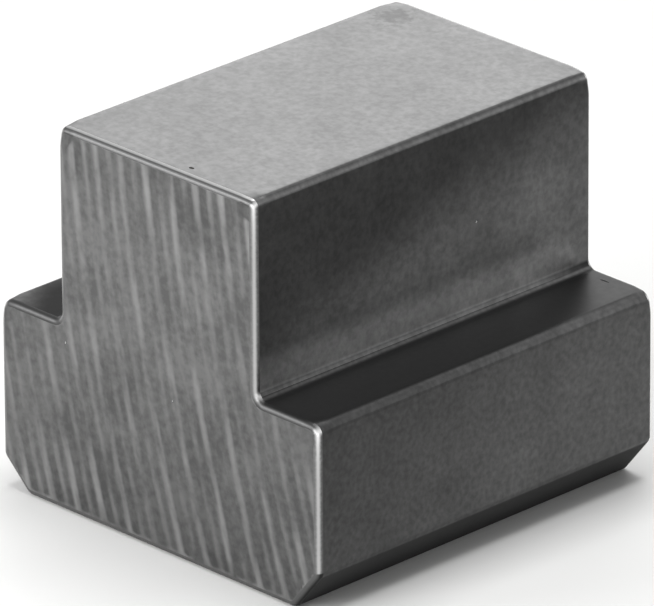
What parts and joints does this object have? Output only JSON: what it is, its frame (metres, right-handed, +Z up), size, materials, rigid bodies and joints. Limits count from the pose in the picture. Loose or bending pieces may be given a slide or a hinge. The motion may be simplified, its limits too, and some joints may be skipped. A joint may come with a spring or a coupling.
{
  "type": "t-slot nut",
  "caption": "T-slot nut blank: a narrow neck stands on a wider head with chamfered lower edges; plain sawn ends and no thread.",
  "frame": {"origin": "centre of the head's underside, halfway between the sawn ends", "axes": "+X across the slot, +Y along the slot and the drawn bar, +Z up out of the slot through the neck"},
  "size_m": [0.035, 0.0362, 0.0323],
  "materials": {
    "drawn_steel": "bare cold-drawn steel bar with a dull grey skin and sawn end faces"
  },
  "bodies": {
    "root": {"nut_blank": "drawn_steel"}
  },
  "joints": []
}
